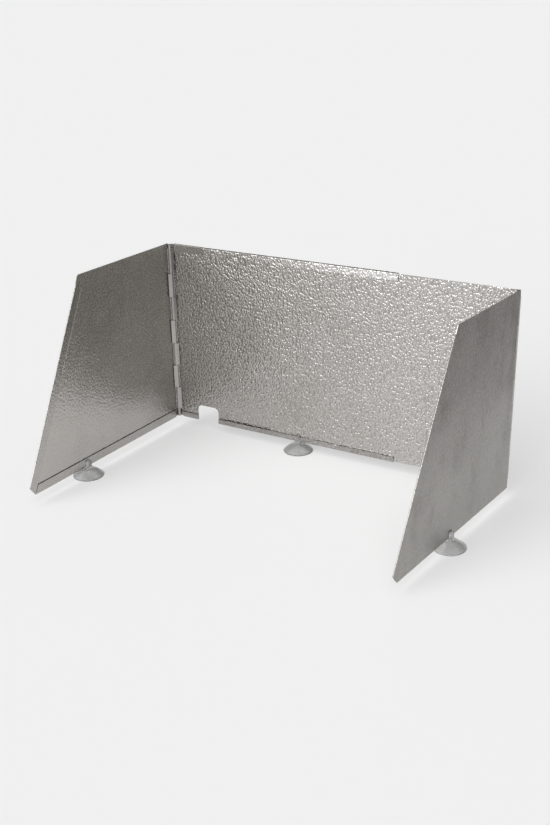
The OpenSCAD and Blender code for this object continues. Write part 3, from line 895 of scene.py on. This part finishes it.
def wing_flat(outline):
    """The flat part of a wing with its bottom hem."""
    low_off, low_z, low_in_off, low_in_up, low_length = (part[:, 0] for part in folded_edge(HEM_R, HEM_W))
    rows = stations([HEM_R, LOW_CORNER, HEM_TOP, TOP_CORNER, PANEL_H], GRID)
    last = outline.bottom_len - HEM_R / outline.out_u
    columns = stations([LEAF_EDGE, CORNER_RELIEF, last], GRID) - LEAF_EDGE
    share = np.concatenate([[0], columns / columns[-1]])

    def spread(hem, flat):
        return np.concatenate([hem, flat])[:, None] * np.ones_like(share)

    z = spread(low_z, rows)
    u = LEAF_EDGE + share * (outline.front(z) - HEM_R / outline.out_u - LEAF_EDGE)
    u[:, 0] = CORNER_EDGE
    return {"u": u, "z": z, "off": spread(low_off, rows * 0), "in_off": spread(low_in_off, rows * 0 + 1),
            "side_u": u * 0, "side_z": spread(low_in_up, rows * 0),
            "flat_u": u, "flat_z": spread(HEM_R - low_length, rows)}


def wing_front_hem(outline, fold_u, fold_z):
    """The front hem, from its fold line on. Above the hem, in its first column, the sheet is cut plainly."""
    off, height, in_off, in_up, length = (part[::-1, 0] for part in folded_edge(HEM_R, HEM_W))
    plain = (fold_z > HEM_TOP + TINY) & (np.arange(len(off)) == 0)
    back_in = HEM_R - height
    side = np.where(plain, 0.0, -in_up)
    return {"u": np.where(plain, outline.front(fold_z), fold_u + outline.out_u * back_in),
            "z": np.where(plain, fold_z, fold_z + outline.out_z * back_in),
            "off": np.where(plain, 0.0, off), "in_off": np.where(plain, 1.0, in_off),
            "side_u": side * outline.out_u, "side_z": side * outline.out_z,
            "flat_u": fold_u + outline.out_u * length, "flat_z": fold_z + outline.out_z * length}


print("rows and columns of the left wing:", wing_flat(left_outline)["u"].shape)

# %% [markdown]
# ## Wings
#
# Both wings come from the same function: the left one turned about its hinge, the right one mirrored as well.
# Cells beyond a cut, in the mitre gap between the hems and above the front hem are left out. The free edge of
# the front hem gets a painted highlight in its upper part.

# %% Wings
LEFT_TURN, RIGHT_TURN = -math.radians(93.4), -math.radians(83.2)
MITRE_GAP = 1.2
WING_PRESS = 0.36
HEM_WEATHER = 0.2
# Painted highlight on the last two columns of the front hem, and over which share of the height it sets in.
HEM_HIGHLIGHT = (0.6, 1.0)
HIGHLIGHT_FROM, HIGHLIGHT_OVER = 0.45, 0.25


def wing_cells(outline, grid, low_rows, flat_columns):
    """The cells that a wing keeps, and those cut off at its tip and at its upper corner."""
    u, z = cell_middle(grid["u"]), cell_middle(grid["z"])
    in_low = np.arange(u.shape[0])[:, None] < low_rows
    column = np.arange(u.shape[1])[None]
    above_hem = grid["z"][:-1, :1] > HEM_TOP - TINY
    clipped = outline.past_clip(u, z) > 0
    rounded = outline.past_round(u, z) & ~in_low
    keep = ~between_corners(u, z) & ~clipped & ~rounded
    low_end = outline.front(z) - (HEM_W + MITRE_GAP) / outline.out_u
    keep &= ~in_low | ((column < flat_columns - 1) & (u > CORNER_RELIEF) & (u < low_end))
    keep &= ~above_hem | (column < flat_columns)
    return keep, clipped, rounded


def wing_panel(name, node, body, outline, origin, turn, mirrored, seed):
    flat = wing_flat(outline)
    front_hem = wing_front_hem(outline, flat["u"][:, -1:], flat["z"][:, -1:])
    grid = {label: np.concatenate([flat[label], front_hem[label]], 1) for label in flat}
    low_rows, flat_columns = len(folded_edge(HEM_R, HEM_W)[0]), flat["u"].shape[1]
    keep, clipped, rounded = wing_cells(outline, grid, low_rows, flat_columns)
    u, z = grid["u"], grid["z"]
    u, z = np.where(beside(keep, clipped), outline.on_clip(u, z), (u, z))
    u, z = np.where(beside(keep, rounded), outline.on_round(u, z), (u, z))

    hem = (np.arange(u.shape[0])[:, None] < low_rows) | (np.arange(u.shape[1])[None] >= flat_columns)
    finish = finishes(np.where(hem, HEM_WEATHER, 1.0))
    # Painted highlight along the free edge of the front hem.
    finish[1][:, -2:, 1] = eased((z[:, -2:] / PANEL_H - HIGHLIGHT_FROM) / HIGHLIGHT_OVER) * HEM_HIGHLIGHT
    piece = closed_sheet(
        name, keep=keep, finish=finish,
        mid=np.stack([u, SHEET / 2 - ROLL_R + grid["off"], z], -1),
        toward=np.stack([grid["side_u"], grid["in_off"], grid["side_z"]], -1),
        blank=np.stack([grid["flat_u"], grid["flat_z"], u * 0], -1),
        press=(np.where(hem, FOLD_PRESS, WING_PRESS), np.where(hem, WING_PRESS, OUTER_PRESS)),
        origin=origin, turn=turn, mirrored=mirrored)
    knuckle = rolled_knuckle(origin, flipped=True, turn=turn, mirrored=mirrored)
    finish_panel(piece, knuckle, first=1, node=node, body=body, seed=seed)


wing_panel("left_wing_sheet", "left_wing_panel", "left_wing", left_outline, left_foot,
           turn=LEFT_TURN, mirrored=False, seed=23.0)
wing_panel("right_wing_sheet", "right_wing_panel", "right_wing", right_outline, right_foot,
           turn=RIGHT_TURN, mirrored=True, seed=37.0)

# %% [markdown]
# ## Hinge wires
#
# The wires are plain drawn steel rods, and their CAD shape is right, so they only get a finish: bright grey
# metal with fine lines along the rod.

# %% Hinge wires
WIRE_DARK, WIRE_LIGHT = (0.42, 0.41, 0.40, 1), (0.58, 0.57, 0.55, 1)
WIRE_SMOOTH, WIRE_ROUGH = 0.25, 0.42
WIRE_RELIEF = 0.04 * MM
WIRE_STRETCH = (2500, 2500, 40)


def drawn_steel():
    material, tree, shader, place = new_material("drawn_steel_wire")
    lines = noise(tree, vector_node(tree, "MULTIPLY", place, WIRE_STRETCH), 1, detail=3)
    colour = mixed(tree, between(tree, lines, 0.35, 0.7), WIRE_DARK, WIRE_LIGHT)
    rough = between(tree, lines, 0.3, 0.7, WIRE_SMOOTH, WIRE_ROUGH)
    bump = add_node(tree, "ShaderNodeBump", Strength=0.3, Distance=WIRE_RELIEF, Height=lines).outputs[0]
    set_sockets(tree, shader, Base_Color=colour, Metallic=1.0, Roughness=rough, Normal=bump)
    return material


wire_finish = drawn_steel()
for node in ("left_hinge_pin", "right_hinge_pin"):
    frame["nodes"][node].data.materials[0] = wire_finish
print("hinge wires in", wire_finish.name)

# %% [markdown]
# ## Clear vinyl
#
# The cups are moulded in clear soft vinyl, which has gone hazy with age. Most light passes through it, so the
# shader is a rough glass: the haze changes its tint and its gloss from place to place, and a shallow bump
# stands for its uneven skin.

# %% Clear vinyl
VINYL_CLEAR, VINYL_HAZY = (0.74, 0.74, 0.735, 1), (0.57, 0.57, 0.565, 1)
VINYL_SMOOTH, VINYL_ROUGH = 0.12, 0.26
VINYL_PASSES, VINYL_IOR = 0.85, 1.45
VINYL_RELIEF = 0.2 * MM
HAZES, DIMPLES = 90, 260


def clear_vinyl():
    material, tree, shader, place = new_material("clear_vinyl")
    haze = noise(tree, place, HAZES, detail=4)
    colour = mixed(tree, between(tree, haze, 0.35, 0.7), VINYL_CLEAR, VINYL_HAZY)
    rough = between(tree, haze, 0.3, 0.7, VINYL_SMOOTH, VINYL_ROUGH)
    skin = noise(tree, place, DIMPLES)
    bump = add_node(tree, "ShaderNodeBump", Strength=0.15, Distance=VINYL_RELIEF, Height=skin).outputs[0]
    set_sockets(tree, shader, Base_Color=colour, Roughness=rough, Transmission_Weight=VINYL_PASSES,
                IOR=VINYL_IOR, Normal=bump)
    return material


vinyl = clear_vinyl()
print("finish:", vinyl.name)

# %% [markdown]
# ## Suction cups
#
# A cup has a thin skirt that rises to a short neck, and a slotted head that grips the bottom edge of a
# panel. It is turned from one half section, as a lathe would, the slot is cut after, and a small bevel
# softens the edges of the cut.

# %% Half section of a cup
CUP_R, CUP_LAND, CUP_RIM = 20.0, 1.4, 0.8
CUP_HOLLOW = 8.0
NECK_R, NECK_H = 4.5, 1.2
HEAD_R, HEAD_ROUND = 4.8, 2.4
FLANK_BULGE = 0.28
# Small roundings at the foot, at the top of the neck and under the head.
FOOT_ROUND, NECK_ROUND, HEAD_EASE = 0.35, 0.25, 0.2
FLANK_POINTS, ROUND_POINTS = 14, 6
STANDOFF = BOTTOM_Z / MM


def flank(share):
    return (1 + FLANK_BULGE) * share - FLANK_BULGE * share * share


def cup_half_section(total_h):
    """Points of the half section in millimetres, from the middle of the hollow out and up to the top."""
    share = np.linspace(0, 1, FLANK_POINTS)
    hollow = np.stack([(CUP_R - CUP_LAND) * share, CUP_HOLLOW * flank(1 - share)], 1)
    rise = STANDOFF - NECK_H - CUP_RIM
    outer = np.stack([CUP_R - (CUP_R - NECK_R) * share, CUP_RIM + rise * flank(share)], 1)
    turn = np.linspace(0, math.pi / 2, ROUND_POINTS)
    head = np.stack([HEAD_R - HEAD_ROUND + HEAD_ROUND * np.cos(turn),
                     total_h - HEAD_ROUND + HEAD_ROUND * np.sin(turn)], 1)
    foot = np.array([[CUP_R - FOOT_ROUND, 0.0], [CUP_R, FOOT_ROUND]])
    neck = np.array([[NECK_R, STANDOFF - NECK_ROUND], [HEAD_R - HEAD_EASE, STANDOFF],
                     [HEAD_R, STANDOFF + FOOT_ROUND]])
    return np.concatenate([hollow, foot, outer, neck, head, [[0.0, total_h]]])


print(f"cups {2 * CUP_R:.0f} across, standing {STANDOFF:.1f} under the panels")

# %% Turned cup and its slot
CUP_TURNS = 72
SLOT_SPARE = 4
MERGE_DIST = 1e-7


def from_bmesh(name, shape):
    mesh = bpy.data.meshes.new(name)
    shape.to_mesh(mesh)
    shape.free()
    return linked(name, mesh)


def turned_cup(name, total_h):
    shape = bmesh.new()
    profile = [shape.verts.new((r * MM, 0, z * MM)) for r, z in cup_half_section(total_h)]
    edges = [shape.edges.new(pair) for pair in zip(profile, profile[1:])]
    bmesh.ops.spin(shape, geom=profile + edges, cent=(0, 0, 0), axis=(0, 0, 1), angle=2 * math.pi,
                   steps=CUP_TURNS, use_merge=True)
    bmesh.ops.remove_doubles(shape, verts=shape.verts, dist=MERGE_DIST)
    bmesh.ops.recalc_face_normals(shape, faces=shape.faces)
    return from_bmesh(name, shape)


def slot_cutter(total_h, grip):
    """A block from the panel's edge to above the head, as thick as the gripped edge."""
    slot = bmesh.new()
    slot_top = total_h + SLOT_SPARE
    bmesh.ops.create_cube(slot, size=1.0)
    bmesh.ops.scale(slot, vec=(4 * HEAD_R * MM, grip * MM, (slot_top - STANDOFF) * MM), verts=slot.verts)
    bmesh.ops.translate(slot, vec=(0, 0, (slot_top + STANDOFF) / 2 * MM), verts=slot.verts)
    return from_bmesh("slot", slot)


# %% Suction cups
EDGE_SOFT, SOFT_SEGMENTS = 0.25 * MM, 2
SOFT_ANGLE = math.radians(50)


def suction_cup(name, node, body, turn, grip):
    low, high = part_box(node)
    total_h = (high.z - low.z) / MM
    piece = turned_cup(name, total_h)
    cutter = slot_cutter(total_h, grip)
    cut = piece.modifiers.new("slot", "BOOLEAN")
    cut.object, cut.solver = cutter, "EXACT"
    soft = piece.modifiers.new("soft_edges", "BEVEL")
    soft.width, soft.segments = EDGE_SOFT, SOFT_SEGMENTS
    soft.limit_method, soft.angle_limit = "ANGLE", SOFT_ANGLE
    made_plain(piece)
    bpy.data.objects.remove(cutter)

    middle = (low + high) / 2
    piece.data.transform(Matrix.Translation((middle.x, middle.y, 0)) @ Matrix.Rotation(turn, 4, "Z"))
    piece.data.materials.clear()
    piece.data.materials.append(vinyl)
    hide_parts(node)
    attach(piece, body)
    print(piece.name, "has", len(piece.data.polygons), "faces")


suction_cup("back_cup", "back_suction_cup", "back", turn=0.0, grip=2 * CHANNEL_R)
suction_cup("left_cup", "left_suction_cup", "left_wing", turn=LEFT_TURN, grip=2 * HEM_R)
suction_cup("right_cup", "right_suction_cup", "right_wing", turn=-RIGHT_TURN, grip=2 * HEM_R)
